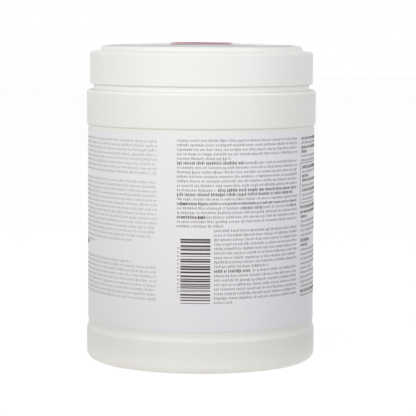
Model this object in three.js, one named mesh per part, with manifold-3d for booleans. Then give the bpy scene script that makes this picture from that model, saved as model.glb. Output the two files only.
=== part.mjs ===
// Canister of pre-moistened wipes that are pulled from the centre of a coreless roll.
// Millimetres, +Z up, origin at the centre of the foot ring. The cap's thumb lip faces +Y.

import * as THREE from 'three';
import { mergeVertices } from 'three/addons/utils/BufferGeometryUtils.js';
import Module from 'manifold-3d';

const wasm = await Module();
wasm.setup();

// Fineness of turned surfaces
const facets = 56;
const arcStepLength = 1.5;
const leastArcSteps = 2;
const domeSteps = 6;

// Roll: the sheet is drawn as a few thick turns, each for about sixteen real ones
const wipeWidth = 152.4;
const rollHoleRadius = 8;
const rollTurns = 9;
const turnSteps = 26;
const turnGap = 0.45;
const sheetEnd = 0.4;
const rollMouthClearance = 2;

// Canister, blow-moulded
const bandRadius = 64;
const wall = 1.2;
const heelRadius = 4.5;
const footWidth = 5;
const footDepth = 1;
const pushUp = 4;
const pinchOffWidth = 1.6;
const pinchOffHeight = 0.5;
const pinchOffMargin = 6;
const baseBandHeight = 16.4;
const baseSlant = 2.7;
const panelRecess = 0.9;
const topSlant = 2;
const topBandHeight = 18.9;
const shoulderCorner = 1;
const neckInset = 3.8;
const neckFillet = 0.8;
const neckHeight = 18.4;
const neckBead = 0.6;
const neckBeadHalf = 1.1;
const rimFlange = 1;
const rimFlangeDepth = 2.4;
const headspace = 11.4;

// Gaps between pieces
const restGap = 0.3;
const labelGap = 0.1;
const beadClearance = 0.15;
const snapGap = 0.3;
const capGap = 0.35;

// Wrap label
const labelThickness = 0.15;
const labelTopInset = 0.6;
const labelBottomInset = 4;
const labelOverlapFacets = 1;
const labelSeamAngle = 135;

// Foil seal, bonded to the rim of the neck, with a pull tab folded back over it
const sealThickness = 0.25;
const sealInset = 0.4;
const tabWidth = 22;
const tabLength = 17;
const tabFold = 1;

// Lid, injection-moulded
const skirtWall = 1;
const skirtGap = 3.3;
const lidLip = 1.2;
const lidBead = 0.35;
const lidBeadHalf = 0.8;
const lidWall = 1.2;
const seatRibHeight = 1.15;
const lidCorner = 1.6;
const lidLedge = 5.9;
const drumFillet = 0.9;
const drumHeight = 2.9;
const drumDraft = 0.7;
const drumCorner = 1;
const deckRise = 1.2;

// Well in the deck, with the dispensing hole in its floor
const wellLedge = 1.3;
const wellDepth = 1.2;
const wellWall = 1.1;
const collarRadius = 8.5;
const collarWidth = 1.1;
const collarHeight = 0.9;
const holeRadius = 3.5;
const slitCount = 6;
const slitWidth = 0.9;
const slitReach = 7;
const thumbScoopRadius = 20;
const thumbScoopDepth = 0.75;

// Flip cap
const capRadius = 18.5;
const capThickness = 1.3;
const capProud = 0.35;
const capCrown = 0.1;
const capEdge = 0.4;
const hingeChordInset = 0.9;
const lipReach = 2.2;
const lipWidth = 6;
const lipThickness = 0.65;
const plugRingWidth = 1;
const plugRingHeight = 1;

// Stickers on the lid and the cap
const stickerThickness = 0.15;
const lidStickerMargin = 1.6;
const lidStickerInnerMargin = 1;
const scoopStickerMargin = 0.8;
const capStickerMargin = 1;

// Heights and radii that follow from the sizes above
const panelRadius = bandRadius - panelRecess;
const footRadius = bandRadius - heelRadius;
const footInnerRadius = footRadius - footWidth;
const floorTop = pushUp + wall;
const rollBottom = floorTop + restGap;
const neckTop = rollBottom + wipeWidth + headspace;
const shoulderZ = neckTop - neckHeight;
const topBandZ = shoulderZ - topBandHeight;
const panelTop = topBandZ - topSlant;
const panelBottom = baseBandHeight + baseSlant;
const neckRadius = bandRadius - neckInset;
const boreRadius = neckRadius - wall;
const mouthRadius = boreRadius - rimFlange;
const rollRadius = mouthRadius - rollMouthClearance;

const skirtBottom = shoulderZ + skirtGap;
const lidBeadZ = skirtBottom + lidLip + lidBeadHalf;
const neckBeadZ = lidBeadZ + lidBeadHalf + snapGap + neckBeadHalf;
const skirtInner = neckRadius + neckBead + beadClearance + lidBead;
const skirtOuter = skirtInner + skirtWall;
const sealTop = neckTop + sealThickness;
const seatZ = sealTop + restGap;
const lidUnder = seatZ + seatRibHeight;
const lidShoulderZ = lidUnder + lidWall;
const drumFootRadius = skirtOuter - lidLedge;
const drumTopRadius = drumFootRadius - drumDraft;
const deckEdgeRadius = drumTopRadius - drumCorner;
const deckEdgeZ = lidShoulderZ + drumHeight;
const wellRadius = capRadius + capGap;
const wellRimZ = deckEdgeZ + deckRise;
const capTopZ = wellRimZ + capProud;
const capBottomZ = capTopZ - capThickness;
const ledgeZ = capBottomZ - restGap;
const wellFloorZ = ledgeZ - wellDepth;
const chordY = capRadius - hingeChordInset;
const thumbScoopY = wellRadius + lipReach;

const deckSlope = deckRise / (deckEdgeRadius - wellRadius);
const deckHeight = (radius) => deckEdgeZ + deckSlope * (deckEdgeRadius - radius);

// Geometry to solid and back. Triangles that collapse on the axis are dropped.
function solidOf(geometry) {
  geometry.deleteAttribute('normal');
  geometry.deleteAttribute('uv');
  const merged = mergeVertices(geometry);
  const index = merged.index.array;
  const kept = [];
  for (let i = 0; i < index.length; i += 3) {
    const [a, b, c] = [index[i], index[i + 1], index[i + 2]];
    if (a !== b && b !== c && c !== a) kept.push(a, b, c);
  }
  return new wasm.Manifold(new wasm.Mesh({
    numProp: 3,
    vertProperties: new Float32Array(merged.attributes.position.array),
    triVerts: new Uint32Array(kept),
  }));
}

function geometryOf(solid) {
  const { vertProperties, triVerts } = solid.getMesh();
  const geometry = new THREE.BufferGeometry();
  geometry.setAttribute('position', new THREE.BufferAttribute(vertProperties, 3));
  geometry.setIndex(new THREE.BufferAttribute(triVerts, 1));
  geometry.computeVertexNormals();
  return geometry;
}

// A profile of [radius, height] points turned about Z
function turned(profile) {
  const points = profile.map(([radius, height]) => new THREE.Vector2(radius, height));
  return solidOf(new THREE.LatheGeometry(points, facets).rotateX(Math.PI / 2));
}

// An outline in the XY plane, raised from one height to another
function raised(shape, low, high) {
  const geometry = new THREE.ExtrudeGeometry(shape, {
    depth: high - low,
    bevelEnabled: false,
    curveSegments: facets / 4,
  });
  return solidOf(geometry.translate(0, 0, low));
}

// Points of an arc of a profile, from one angle to another in degrees
function arc(radius, height, size, from, to) {
  const points = [];
  const length = size * THREE.MathUtils.degToRad(Math.abs(to - from));
  const steps = Math.max(leastArcSteps, Math.ceil(length / arcStepLength));
  for (let i = 0; i <= steps; i += 1) {
    const angle = THREE.MathUtils.degToRad(from + ((to - from) * i) / steps);
    points.push([radius + size * Math.cos(angle), height + size * Math.sin(angle)]);
  }
  return points;
}

// Underside of the concave base, from the axis to the foot ring
function pushUpCurve(rise) {
  const reach = footInnerRadius - footDepth;
  const points = [];
  for (let i = 0; i <= domeSteps; i += 1) {
    const share = i / domeSteps;
    points.push([reach * share, rise + footDepth + (pushUp - footDepth) * (1 - share * share)]);
  }
  return points;
}

function named(name, solid, material) {
  const mesh = new THREE.Mesh(geometryOf(solid), new THREE.MeshStandardMaterial(material));
  mesh.name = name;
  return mesh;
}

// The canister's wall: foot ring, heel, base band, recessed label panel, top band, neck
function makeCanister() {
  const outside = [
    ...pushUpCurve(0),
    [footInnerRadius, 0],
    ...arc(footRadius, heelRadius, heelRadius, -90, 0),
    [bandRadius, baseBandHeight],
    [panelRadius, panelBottom],
    [panelRadius, panelTop],
    [bandRadius, topBandZ],
    ...arc(bandRadius - shoulderCorner, shoulderZ - shoulderCorner, shoulderCorner, 0, 90),
    ...arc(neckRadius + neckFillet, shoulderZ + neckFillet, neckFillet, 270, 180),
    [neckRadius, neckBeadZ - neckBeadHalf],
    [neckRadius + neckBead, neckBeadZ - neckBeadHalf / 3],
    [neckRadius + neckBead, neckBeadZ + neckBeadHalf / 3],
    [neckRadius, neckBeadZ + neckBeadHalf],
    [neckRadius, neckTop],
  ];
  const inside = [
    [mouthRadius, neckTop],
    [mouthRadius, neckTop - rimFlangeDepth + rimFlange],
    [boreRadius, neckTop - rimFlangeDepth],
    [boreRadius, shoulderZ - wall],
    [bandRadius - wall, shoulderZ - wall - neckInset],
    [bandRadius - wall, topBandZ],
    [panelRadius - wall, panelTop],
    [panelRadius - wall, panelBottom],
    [bandRadius - wall, baseBandHeight],
    ...arc(footRadius, heelRadius, heelRadius - wall, 0, -90),
    [footInnerRadius, wall],
    ...pushUpCurve(wall).reverse(),
  ];
  return turned([...outside, ...inside]).add(makePinchOff());
}

// Weld line that the mould leaves across the base
function makePinchOff() {
  const skin = turned([...pushUpCurve(-pinchOffHeight), ...pushUpCurve(wall / 2).reverse()]);
  const length = 2 * (footInnerRadius - pinchOffMargin);
  const strip = new THREE.BoxGeometry(length, pinchOffWidth, 4 * floorTop);
  return skin.intersect(solidOf(strip));
}

// Printed label wrapped once round the panel, its end lapped over its start
function makeBodyLabel() {
  const start = Math.round((labelSeamAngle / 360) * facets);
  const inner = panelRadius + labelGap;
  const lapped = inner + labelThickness + labelGap;
  const side = (extra) => {
    const points = [];
    for (let i = 0; i <= facets + labelOverlapFacets; i += 1) {
      const angle = ((start + i) / facets) * 2 * Math.PI;
      const radius = (i < facets ? inner : lapped) + extra;
      points.push(new THREE.Vector2(radius * Math.sin(angle), -radius * Math.cos(angle)));
    }
    return points;
  };
  const outline = new THREE.Shape([...side(labelThickness), ...side(0).reverse()]);
  return raised(outline, panelBottom + labelBottomInset, panelTop - labelTopInset);
}

// One long sheet of perforated wipes wound on itself, round outside and round at its open centre,
// where its ends run out thin. Each turn grows out to the pitch and lies a gap above the last.
function makeRoll() {
  const pitch = (rollRadius - rollHoleRadius + turnGap) / rollTurns;
  const runOut = turnSteps * ((turnGap + sheetEnd) / pitch);
  const first = Math.ceil(runOut);
  const last = Math.floor(turnSteps * (rollTurns + 1) - runOut);
  const outer = (turn) => Math.min(rollRadius, rollHoleRadius + pitch * turn - turnGap);
  const inner = (turn) => Math.max(rollHoleRadius, rollHoleRadius + pitch * (turn - 1));
  const side = (radiusAt) => {
    const points = [];
    for (let i = first; i <= last; i += 1) {
      const angle = (i / turnSteps) * 2 * Math.PI;
      const radius = radiusAt(i / turnSteps);
      points.push(new THREE.Vector2(radius * Math.cos(angle), radius * Math.sin(angle)));
    }
    return points;
  };
  const outline = new THREE.Shape([...side(outer), ...side(inner).reverse()]);
  return raised(outline, rollBottom, rollBottom + wipeWidth);
}

// Foil disc on the rim of the neck, with its tab folded over
function makeFoilSeal() {
  const radius = neckRadius - sealInset;
  const disc = turned([[0, neckTop], [radius, neckTop], [radius, sealTop], [0, sealTop]]);
  const half = tabWidth / 2;
  const foldY = Math.sqrt(mouthRadius * mouthRadius - half * half);
  const tongue = new THREE.Shape();
  tongue.moveTo(-half, foldY);
  tongue.lineTo(-half, foldY - tabLength + half);
  tongue.absarc(0, foldY - tabLength + half, half, Math.PI, 2 * Math.PI);
  tongue.lineTo(half, foldY);
  tongue.closePath();
  const tabZ = sealTop + labelGap;
  const tabTop = tabZ + sealThickness;
  const fold = new THREE.BoxGeometry(tabWidth, tabFold, tabTop - neckTop);
  fold.translate(0, foldY - tabFold / 2, (tabTop + neckTop) / 2);
  return disc.add(raised(tongue, tabZ, tabTop)).add(solidOf(fold));
}

// Dispensing hole: a round hole with slits between stiff fingers that grip the wipe
function makeHoleCutter() {
  const shape = new THREE.Shape();
  const halfSlit = slitWidth / 2;
  const edge = Math.asin(halfSlit / holeRadius);
  for (let i = 0; i < slitCount; i += 1) {
    const angle = (i / slitCount) * 2 * Math.PI;
    const next = ((i + 1) / slitCount) * 2 * Math.PI;
    const along = new THREE.Vector2(Math.cos(angle), Math.sin(angle));
    const across = new THREE.Vector2(-along.y, along.x);
    const corner = (side) => along.clone().multiplyScalar(slitReach).addScaledVector(across, side);
    const first = corner(-halfSlit);
    const second = corner(halfSlit);
    if (i === 0) shape.moveTo(first.x, first.y);
    else shape.lineTo(first.x, first.y);
    shape.lineTo(second.x, second.y);
    shape.absarc(0, 0, holeRadius, angle + edge, next - edge);
  }
  shape.closePath();
  return raised(shape, wellFloorZ - 2 * wellWall, wellFloorZ + wellWall);
}

// Round outline with a straight edge at -Y, where the cap hinges
function chordedCircle(radius, edgeY) {
  const angle = Math.asin(edgeY / radius);
  const shape = new THREE.Shape();
  shape.absarc(0, 0, radius, -angle, Math.PI + angle);
  shape.closePath();
  return shape;
}

// Land that fills the round well behind the hinge line
function makeHingeLand() {
  const radius = wellRadius + wellWall / 2;
  const edgeY = chordY + capGap;
  const angle = Math.asin(edgeY / radius);
  const shape = new THREE.Shape();
  shape.absarc(0, 0, radius, Math.PI + angle, 2 * Math.PI - angle);
  shape.closePath();
  return raised(shape, wellFloorZ, deckHeight(radius));
}

function makeThumbScoop() {
  const ball = new THREE.SphereGeometry(thumbScoopRadius, facets, facets / 2);
  const height = deckHeight(thumbScoopY) + thumbScoopRadius - thumbScoopDepth;
  return solidOf(ball.translate(0, thumbScoopY, height));
}

// Push-on lid: skirt, shoulder, raised drum, conical deck, well with the dispensing hole
function makeLid() {
  const floorUnder = wellFloorZ - wellWall;
  const wellOuter = wellRadius + wellWall;
  const drumInner = drumFootRadius - lidWall;
  const ribOuter = neckRadius - sealInset;
  const ribInner = mouthRadius + sealInset;
  const underside = [
    [0, floorUnder],
    [wellOuter, floorUnder],
    [wellOuter, deckHeight(wellOuter) - lidWall],
    [drumInner - drumDraft, deckHeight(drumInner) - lidWall],
    [drumInner, lidUnder],
    [ribInner, lidUnder],
    [ribInner, seatZ],
    [ribOuter, seatZ],
    [ribOuter, lidUnder],
    [skirtInner, lidUnder],
    [skirtInner, lidBeadZ + lidBeadHalf],
    [skirtInner - lidBead, lidBeadZ + lidBeadHalf / 3],
    [skirtInner - lidBead, lidBeadZ - lidBeadHalf / 3],
    [skirtInner, lidBeadZ - lidBeadHalf],
    [skirtInner, skirtBottom],
  ];
  const outside = [
    [skirtOuter, skirtBottom],
    ...arc(skirtOuter - lidCorner, lidShoulderZ - lidCorner, lidCorner, 0, 90),
    ...arc(drumFootRadius + drumFillet, lidShoulderZ + drumFillet, drumFillet, 270, 180),
    ...arc(deckEdgeRadius, deckEdgeZ - drumCorner, drumCorner, 0, 90),
    [wellRadius, wellRimZ],
    [wellRadius, ledgeZ],
    [wellRadius - wellLedge, ledgeZ],
    [wellRadius - wellLedge, wellFloorZ],
    [collarRadius + collarWidth, wellFloorZ],
    [collarRadius + collarWidth, wellFloorZ + collarHeight],
    [collarRadius, wellFloorZ + collarHeight],
    [collarRadius, wellFloorZ],
    [0, wellFloorZ],
  ];
  return turned([...underside, ...outside])
    .add(makeHingeLand())
    .subtract(makeHoleCutter())
    .subtract(makeThumbScoop());
}

// Printed ring stuck to the deck, notched round the thumb scoop
function makeLidLabel() {
  const inner = wellRadius + lidStickerInnerMargin;
  const outer = deckEdgeRadius - lidStickerMargin;
  const low = labelGap;
  const high = labelGap + stickerThickness;
  const ring = turned([
    [inner, deckHeight(inner) + low],
    [outer, deckHeight(outer) + low],
    [outer, deckHeight(outer) + high],
    [inner, deckHeight(inner) + high],
    [inner, deckHeight(inner) + low],
  ]);
  const scoopReach = Math.sqrt(2 * thumbScoopRadius * thumbScoopDepth) + scoopStickerMargin;
  const notch = new THREE.Shape();
  notch.absarc(0, thumbScoopY, scoopReach, 0, 2 * Math.PI);
  return ring.subtract(raised(notch, lidShoulderZ, capTopZ + capThickness));
}

// Centre cap: a thin crowned disc with a hinge edge, a thumb lip and a ring that seals the collar
function makeFlipCap() {
  const disc = turned([
    [0, capBottomZ],
    [capRadius, capBottomZ],
    [capRadius, capTopZ - capEdge],
    [capRadius - capEdge, capTopZ],
    [0, capTopZ + capCrown],
  ]);
  const ringInner = collarRadius + collarWidth + restGap;
  const ringOuter = ringInner + plugRingWidth;
  const ring = turned([
    [ringInner, capBottomZ - plugRingHeight],
    [ringOuter, capBottomZ - plugRingHeight],
    [ringOuter, capBottomZ + capThickness / 2],
    [ringInner, capBottomZ + capThickness / 2],
    [ringInner, capBottomZ - plugRingHeight],
  ]);
  const outline = chordedCircle(capRadius + capThickness, chordY);
  const envelope = raised(outline, wellFloorZ - plugRingHeight, capTopZ + capThickness);
  const tongue = new THREE.Shape();
  const half = lipWidth / 2;
  tongue.moveTo(-half, capRadius - half);
  tongue.lineTo(half, capRadius - half);
  tongue.lineTo(half, capRadius + lipReach - half);
  tongue.absarc(0, capRadius + lipReach - half, half, 0, Math.PI);
  tongue.closePath();
  const lip = raised(tongue, capTopZ - lipThickness, capTopZ);
  return disc.intersect(envelope).add(ring).add(lip);
}

// Round sticker on the cap, cut straight beside the hinge
function makeCapLabel() {
  const radius = capRadius - capEdge - capStickerMargin;
  const slope = capCrown / (capRadius - capEdge);
  const height = (at) => capTopZ + capCrown - slope * at + labelGap;
  const disc = turned([
    [0, height(0)],
    [radius, height(radius)],
    [radius, height(radius) + stickerThickness],
    [0, height(0) + stickerThickness],
  ]);
  const outline = chordedCircle(radius + capStickerMargin, chordY - capStickerMargin);
  return disc.intersect(raised(outline, capTopZ - capThickness, capTopZ + capThickness));
}

const bodyPlastic = { color: 0xefeeec, roughness: 0.45, metalness: 0 };
const lidPlastic = { color: 0xf3f2f0, roughness: 0.4, metalness: 0 };
const labelFilm = { color: 0xdedce2, roughness: 0.4, metalness: 0 };
const foil = { color: 0xc9ccd0, roughness: 0.3, metalness: 0.9 };
const wetFleece = { color: 0xf4f5f3, roughness: 0.9, metalness: 0 };
const paleSticker = { color: 0xd5d9dc, roughness: 0.4, metalness: 0 };
const redSticker = { color: 0xc0434c, roughness: 0.4, metalness: 0 };

const pack = new THREE.Group();
pack.add(named('canister', makeCanister(), bodyPlastic));
pack.add(named('body_label', makeBodyLabel(), labelFilm));
pack.add(named('wipe_roll', makeRoll(), wetFleece));
pack.add(named('foil_seal', makeFoilSeal(), foil));
pack.add(named('lid', makeLid(), lidPlastic));
pack.add(named('lid_label', makeLidLabel(), paleSticker));
pack.add(named('flip_cap', makeFlipCap(), lidPlastic));
pack.add(named('cap_label', makeCapLabel(), redSticker));

export default pack;
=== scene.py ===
import math

import bmesh
import bpy
import numpy as np
from mathutils import Matrix, Vector


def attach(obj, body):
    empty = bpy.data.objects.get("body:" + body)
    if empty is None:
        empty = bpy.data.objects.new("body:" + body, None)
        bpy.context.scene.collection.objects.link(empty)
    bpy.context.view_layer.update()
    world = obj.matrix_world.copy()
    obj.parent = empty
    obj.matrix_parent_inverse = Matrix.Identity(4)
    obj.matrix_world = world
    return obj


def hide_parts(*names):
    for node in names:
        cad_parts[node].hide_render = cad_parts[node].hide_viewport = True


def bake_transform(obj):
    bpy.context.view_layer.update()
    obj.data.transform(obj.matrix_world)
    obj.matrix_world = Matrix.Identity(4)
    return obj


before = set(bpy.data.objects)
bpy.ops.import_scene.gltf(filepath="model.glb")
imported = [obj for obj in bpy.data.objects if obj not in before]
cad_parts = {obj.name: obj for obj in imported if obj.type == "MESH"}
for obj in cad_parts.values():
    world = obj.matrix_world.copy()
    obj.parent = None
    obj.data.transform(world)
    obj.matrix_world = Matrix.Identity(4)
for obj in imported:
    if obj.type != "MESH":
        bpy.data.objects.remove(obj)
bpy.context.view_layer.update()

# Sizes below are millimetres in the frame's own axes. Angle 0 of a round piece faces the camera,
# towards -Y, and angles grow towards +X. Each mesh is written in metres about the origin.


# Studio: a pale table that runs back to a white surround. Broad soft lamps stand on the left, on
# the right and overhead, and a small one in front. The camera stands a little above the lid's top.

target = Vector((0.00401, 0.0, 0.08414))
camera_distance = 1.143
camera_pitch = math.radians(5.274)
camera_roll = math.radians(0.287)
camera_lens = 175.71
camera_film = 36.0
camera_far = 50.0
table_half = 6000.0
table_white = 0.86
table_painted_shade = 0.36
shade_start = 0.07
shade_end = 0.4
foot_glow = 0.82
glow_start = 0.066
glow_end = 0.08
shadow_share = 0.2
table_glow = 1.12
surround_light = 0.5
pure_white = (1.0, 1.0, 1.0, 1.0)
foot_tint = (1.0, 1.0, 0.98, 1.0)
lamp_aim = (0.0, 0.0, 0.15)


class Value:
    """A socket of a node tree. The signs + - and * on it add Math nodes, and so does most."""

    def __init__(self, tree, socket):
        self.tree = tree
        self.socket = socket

    def sum(self, operation, first, second):
        return self.tree.node("Math", {"operation": operation}, {0: first, 1: second})

    def __add__(self, other):
        return self.sum("ADD", self, other)

    def __radd__(self, other):
        return self.sum("ADD", other, self)

    def __sub__(self, other):
        return self.sum("SUBTRACT", self, other)

    def __rsub__(self, other):
        return self.sum("SUBTRACT", other, self)

    def __mul__(self, other):
        return self.sum("MULTIPLY", self, other)

    def __rmul__(self, other):
        return self.sum("MULTIPLY", other, self)

    def most(self, other):
        return self.sum("MAXIMUM", self, other)


class Tree:
    """A node tree. One method adds any node, with its settings first and then its sockets."""

    def __init__(self, nodes_of):
        nodes_of.use_nodes = True
        self.tree = nodes_of.node_tree

    def node(self, kind, settings, inputs, output=0):
        made = self.tree.nodes.new("ShaderNode" + kind)
        for key, value in settings.items():
            setattr(made, key, value)
        for key, value in inputs.items():
            self.feed(made.inputs[key], value)
        return Value(self, made.outputs[output]) if len(made.outputs) else None

    def feed(self, socket, value):
        if isinstance(value, Value):
            self.tree.links.new(value.socket, socket)
        else:
            socket.default_value = value

    def mix(self, share, first, second):
        settings = {"data_type": "RGBA"}
        return self.node("Mix", settings, {0: share, 6: first, 7: second}, 2)


def colour(red, green, blue):
    """Screen colour from 0 to 255 as the linear colour that Blender reads."""
    share = np.array([red, green, blue]) / 255
    linear = np.where(share <= 0.04045, share / 12.92, ((share + 0.055) / 1.055) ** 2.4)
    return (*linear.tolist(), 1.0)


def seen_directly(tree):
    """1 for rays that show the surround: those of the eye, of a gloss and through glass."""
    rays = ("Is Camera Ray", "Is Glossy Ray", "Is Transmission Ray")
    eye, gloss, glass = (tree.node("LightPath", {}, {}, name) for name in rays)
    return eye.most(gloss).most(glass)


scene = bpy.context.scene
scene.view_settings.view_transform = "Standard"

camera = bpy.data.objects.new("camera", bpy.data.cameras.new("camera"))
camera.data.lens = camera_lens
camera.data.sensor_width = camera_film
camera.data.clip_end = camera_far
forward = Vector((0.0, math.cos(camera_pitch), -math.sin(camera_pitch)))
turn = Matrix.Rotation(math.pi / 2 - camera_pitch, 4, "X") @ Matrix.Rotation(camera_roll, 4, "Z")
camera.matrix_world = Matrix.Translation(target - forward * camera_distance) @ turn
scene.collection.objects.link(camera)
scene.camera = camera

world = bpy.data.worlds.new("surround")
scene.world = world
surround = Tree(world)
surround.tree.nodes.clear()
direct = seen_directly(surround)
strength = direct * (1 - surround_light) + surround_light
glow = surround.node("Background", {}, {"Color": pure_white, "Strength": strength})
surround.node("OutputWorld", {}, {"Surface": glow})


def soft_lamp(name, place, width, watts, tint):
    """A square lamp of that width at a place, turned to the point that all lamps aim at."""
    lamp = bpy.data.lights.new(name, "AREA")
    lamp.shape = "SQUARE"
    lamp.size = width
    lamp.energy = watts
    lamp.color = tint
    stand = bpy.data.objects.new(name, lamp)
    facing = (Vector(lamp_aim) - Vector(place)).to_track_quat("-Z", "Y")
    stand.matrix_world = Matrix.Translation(place) @ facing.to_matrix().to_4x4()
    scene.collection.objects.link(stand)


soft_lamp("key_lamp", (-0.74, -0.9, 0.48), 0.8, 4.8, (1.0, 0.985, 0.95))
soft_lamp("fill_lamp", (0.93, -0.78, 0.44), 0.8, 3.1, (0.935, 0.96, 1.0))
soft_lamp("front_lamp", (0.0, -1.05, 0.2), 0.5, 0.7, (1.0, 1.0, 1.0))
soft_lamp("top_lamp", (0.0, -0.35, 1.1), 0.8, 1.7, (1.0, 1.0, 1.0))

table_mesh = bpy.data.meshes.new("table")
table_corners = np.array([[-1, -1, 0], [1, -1, 0], [1, 1, 0], [-1, 1, 0]]) * table_half * 0.001
table_mesh.from_pydata(table_corners.tolist(), [], [[0, 1, 2, 3]])
table = bpy.data.objects.new("table", table_mesh)
scene.collection.objects.link(table)
table_finish = bpy.data.materials.new("table_white")
table_tree = Tree(table_finish)
table_tree.tree.nodes.clear()
table_place = table_tree.node("TexCoord", {}, {}, "Object")
from_middle = table_tree.node("VectorMath", {"operation": "LENGTH"}, {0: table_place}, "Value")
# In light bounced from it, the table is a darker grey near the canister: a painted shade that
# darkens the canister's lower part.
painted_shade_fade = table_tree.node(
    "MapRange", {"interpolation_type": "SMOOTHSTEP"}, {0: from_middle, 1: shade_start, 2: shade_end}
)
painted_shade_grey, far_grey = (table_painted_shade,) * 3 + (1.0,), (table_white,) * 3 + (1.0,)
grey = table_tree.node("BsdfDiffuse", {}, {"Color": table_tree.mix(painted_shade_fade, painted_shade_grey, far_grey)})
# In light bounced from it, a ring of the table round the canister's foot glows: a painted light on
# the heel.
foot_light = table_tree.node("Emission", {}, {"Color": foot_tint, "Strength": foot_glow})
at_foot = table_tree.node(
    "MapRange", {"interpolation_type": "SMOOTHSTEP"}, {0: from_middle, 1: glow_end, 2: glow_start}
)
bounce = table_tree.node("MixShader", {}, {0: at_foot, 1: grey, 2: foot_light})
lit = table_tree.node("BsdfDiffuse", {}, {"Color": far_grey})
white = table_tree.node("Emission", {}, {"Color": pure_white, "Strength": table_glow})
shown = table_tree.node("MixShader", {}, {0: 1 - shadow_share, 1: lit, 2: white})
both = table_tree.node("MixShader", {}, {0: seen_directly(table_tree), 1: bounce, 2: shown})
table_tree.node("OutputMaterial", {}, {"Surface": both})
table_mesh.materials.append(table_finish)


# Canister: a white polyethylene bottle, blown in a two-part mould. It has a foot ring round a
# raised base, a recessed panel for the label, a plain band above it and a narrower neck with a
# snap bead. The mould leaves a fine line up both sides and a weld across the base.

band_radius = 64.0
panel_radius = 63.1
neck_radius = 60.2
bore_radius = 59.0
mouth_radius = 58.0
wall = 1.2
heel = 4.5
foot_inner = 54.5
foot_depth = 1.0
push_up = 4.0
base_band_top = 17.5
panel_bottom = 20.0
panel_top = 131.2
top_band_bottom = 132.0
shoulder = 150.9
neck_top = 169.3
neck_bead = 0.6
neck_bead_low = 157.3
neck_bead_high = 159.5
ripple = 0.03
mould_line = 0.07
mould_line_half = 0.18
round_columns = 240


def outline(corners, longest=7.0, support=0.3, steps=5):
    """Points of a profile. A corner (radius, height, size) becomes an arc of that size that touches
    both its sides. Long straight runs get points near their ends, so they shade flat."""
    corners = np.asarray(corners, float)
    points, sizes = corners[:, :2], corners[:, 2]
    rounded = [points[:1]]
    for before, at, after, size in zip(points, points[1:], points[2:], sizes[1:]):
        one = (before - at) / np.linalg.norm(before - at)
        two = (after - at) / np.linalg.norm(after - at)
        half = 0.5 * math.acos(np.clip(one @ two, -1.0, 1.0))
        swing = math.pi - 2 * half
        if size == 0 or swing < 1e-3:
            rounded.append(at[None])
            continue
        centre = at + (one + two) / np.linalg.norm(one + two) * size / math.sin(half)
        start = at + one * size / math.tan(half) - centre
        end = at + two * size / math.tan(half) - centre
        share = np.linspace(0, 1, steps + 1)[:, None]
        arc = np.sin((1 - share) * swing) * start + np.sin(share * swing) * end
        rounded.append(centre + arc / math.sin(swing))
    rounded.append(points[-1:])
    line = np.concatenate(rounded)
    runs = []
    for a, b in zip(line, line[1:]):
        length = np.linalg.norm(b - a)
        if length < 1e-6:
            continue
        inner = []
        if length > 3 * support:
            inner = np.linspace(support, length - support, int(length / longest) + 2)
        shares = np.concatenate([[0.0], inner]) / length
        runs.append(a + shares[:, None] * (b - a))
    return np.concatenate(runs + [line[-1:]])


def around(count, *extra):
    """Angles of the columns of a round piece: evenly spaced ones and extra ones."""
    even = np.arange(count) * 2 * math.pi / count
    every = np.concatenate([even, *(np.atleast_1d(more) % (2 * math.pi) for more in extra)])
    return np.unique(np.round(every, 5))


def on_axis(radius, angle, height):
    """Points at a distance from the axis, an angle and a height: x = r sin a, y = -r cos a."""
    radius, angle, height = np.broadcast_arrays(radius, angle, height)
    return np.stack([radius * np.sin(angle), -radius * np.cos(angle), height], -1)


def piece(name, points, faces, smooth=True, weld=True):
    """An object of points in millimetres, welded where they meet, with its faces turned out."""
    mesh = bpy.data.meshes.new(name)
    mesh.from_pydata((points.reshape(-1, 3) * 0.001).tolist(), [], faces.tolist())
    skin = bmesh.new()
    skin.from_mesh(mesh)
    if weld:
        bmesh.ops.remove_doubles(skin, verts=skin.verts, dist=1e-6)
    bmesh.ops.recalc_face_normals(skin, faces=skin.faces)
    skin.to_mesh(mesh)
    skin.free()
    mesh.polygons.foreach_set("use_smooth", np.full(len(mesh.polygons), smooth))
    made = bpy.data.objects.new(name, mesh)
    scene.collection.objects.link(made)
    return made


def skinned(name, grid, round_first=True, round_second=False):
    """A piece whose surface is a grid of points. It joins up with itself in the directions that
    are round."""
    index = np.arange(grid.shape[0] * grid.shape[1]).reshape(grid.shape[:2])
    next_one = np.roll(index, -1, 0)
    faces = np.stack([index, next_one, np.roll(next_one, -1, 1), np.roll(index, -1, 1)], -1)
    faces = faces if round_first else faces[:-1]
    faces = faces if round_second else faces[:, :-1]
    return piece(name, grid, faces.reshape(-1, 4))


def swell(angle, height):
    """How far the blown wall stands out: long low ripples that die out at the neck and the foot."""
    fade = np.clip((height - 4) / 10, 0, 1) * np.clip((150 - height) / 10, 0, 1)
    waves = np.sin(3 * angle + height / 23 + 1.3) + 0.6 * np.sin(5 * angle - height / 17 + 0.4)
    return ripple * fade * (waves + 0.5 * np.sin(2 * angle + height / 9))


def base_curve(radius, low):
    """Height of the base under the canister: a shallow dome that falls as radius squared."""
    share = radius / (foot_inner - foot_depth)
    return low + foot_depth + (push_up - foot_depth) * (1 - share * share)


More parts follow.
